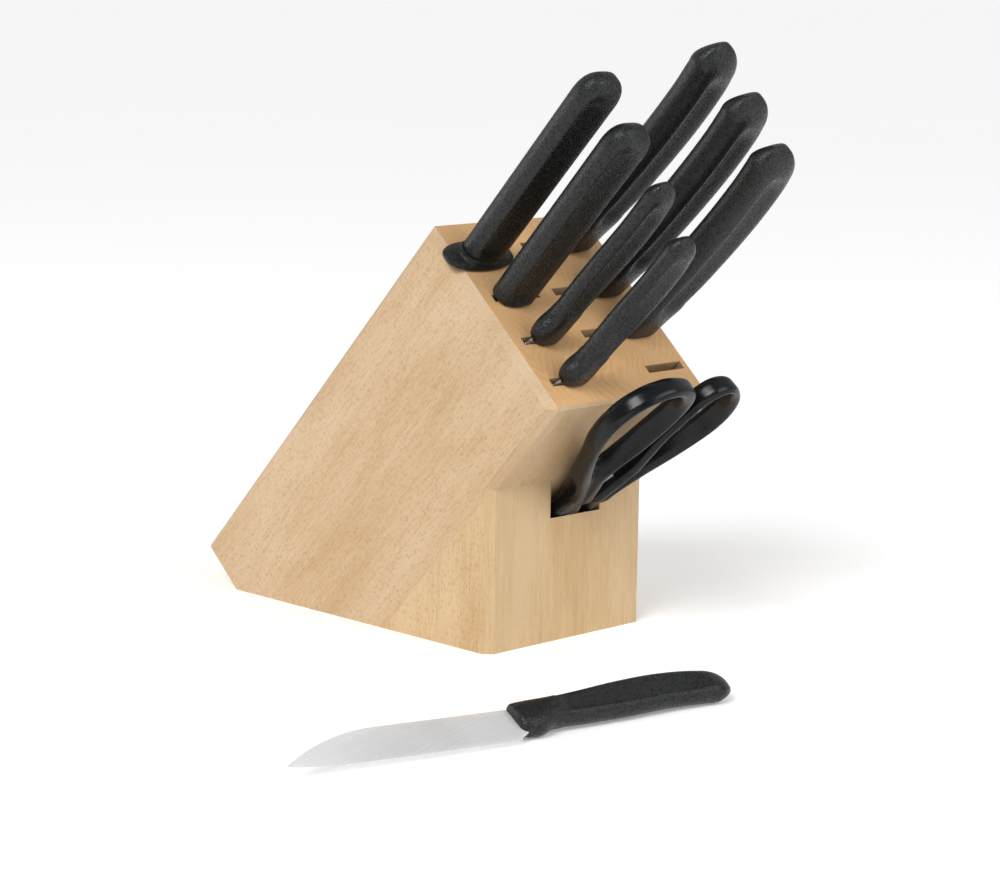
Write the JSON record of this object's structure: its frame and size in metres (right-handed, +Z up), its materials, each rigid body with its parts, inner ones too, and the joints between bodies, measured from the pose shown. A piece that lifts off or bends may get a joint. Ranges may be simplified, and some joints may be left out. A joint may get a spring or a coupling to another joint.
{
  "type": "knife block with knives",
  "caption": "Slanted beech knife block holding slim-handled kitchen knives, a carving fork, a sharpening steel and scissors, with one knife lying loose in front",
  "frame": {"origin": "centre of the block's flat base, on the table", "axes": "+Z up, +X out of the front of the foot, towards the scissors, +Y across the block, towards the large knives"},
  "size_m": [0.3203, 0.2948, 0.2703],
  "materials": {
    "beech": "satin lacquered beech",
    "handle_plastic": "fine matte grain",
    "bow_plastic": "semi-gloss",
    "blade_steel": "polished, fine grind",
    "rod_steel": "fine ribs along the rod",
    "pivot_steel": "turned"
  },
  "bodies": {
    "block": {"side_panel_left": "beech", "side_panel_right": "beech", "board_1": "beech", "board_2": "beech", "board_3": "beech", "board_4": "beech", "board_5": "beech", "divider_1": "beech", "divider_2": "beech", "divider_3": "beech", "divider_4": "beech", "foot_left": "beech", "foot_centre": "beech", "foot_right": "beech"},
    "bread_knife": {"bread_knife_handle": "handle_plastic", "bread_knife_blade": "blade_steel"},
    "carving_knife": {"carving_knife_handle": "handle_plastic", "carving_knife_blade": "blade_steel"},
    "chefs_knife": {"chefs_knife_handle": "handle_plastic", "chefs_knife_blade": "blade_steel"},
    "table_knife": {"table_knife_handle": "handle_plastic", "table_knife_blade": "blade_steel"},
    "paring_knife": {"paring_knife_handle": "handle_plastic", "paring_knife_blade": "blade_steel"},
    "spare_knife": {"spare_knife_handle": "handle_plastic", "spare_knife_blade": "blade_steel"},
    "carving_fork": {"fork_handle": "handle_plastic", "fork_tines": "blade_steel"},
    "sharpening_steel": {"steel_handle": "handle_plastic", "steel_guard": "handle_plastic", "steel_rod": "rod_steel"},
    "scissors": {"scissors_bow_right": "bow_plastic", "scissors_blade_right": "blade_steel", "scissors_screw": "pivot_steel", "scissors_nut": "pivot_steel"},
    "scissors_left_half": {"scissors_bow_left": "bow_plastic", "scissors_blade_left": "blade_steel"}
  },
  "joints": [
    {"name": "bread_knife_draw", "type": "slide", "parent": "block", "child": "bread_knife", "axis": [0.6769, 0, 0.7361], "range_m": [0, 0.216]},
    {"name": "carving_knife_draw", "type": "slide", "parent": "block", "child": "carving_knife", "axis": [0.6769, 0, 0.7361], "range_m": [0, 0.2]},
    {"name": "chefs_knife_draw", "type": "slide", "parent": "block", "child": "chefs_knife", "axis": [0.6769, 0, 0.7361], "range_m": [0, 0.17]},
    {"name": "table_knife_draw", "type": "slide", "parent": "block", "child": "table_knife", "axis": [0.6769, 0, 0.7361], "range_m": [0, 0.12]},
    {"name": "paring_knife_draw", "type": "slide", "parent": "block", "child": "paring_knife", "axis": [0.6769, 0, 0.7361], "range_m": [0, 0.09]},
    {"name": "fork_draw", "type": "slide", "parent": "block", "child": "carving_fork", "axis": [0.6769, 0, 0.7361], "range_m": [0, 0.162]},
    {"name": "steel_draw", "type": "slide", "parent": "block", "child": "sharpening_steel", "axis": [0.6769, 0, 0.7361], "range_m": [0, 0.21]},
    {"name": "scissors_draw", "type": "slide", "parent": "block", "child": "scissors", "axis": [0.7212, 0.1219, 0.682], "range_m": [0, 0.095]},
    {"name": "scissors_pivot", "type": "hinge", "parent": "scissors", "child": "scissors_left_half", "pos_m": [0.0777, 0.00617, 0.05198], "axis": [0.6871, 0, -0.7266], "range_deg": [0, 12]},
    {"name": "spare_knife_lift", "type": "slide", "parent": "block", "child": "spare_knife", "axis": [0, 0, 1], "range_m": [0, 0.05]}
  ]
}
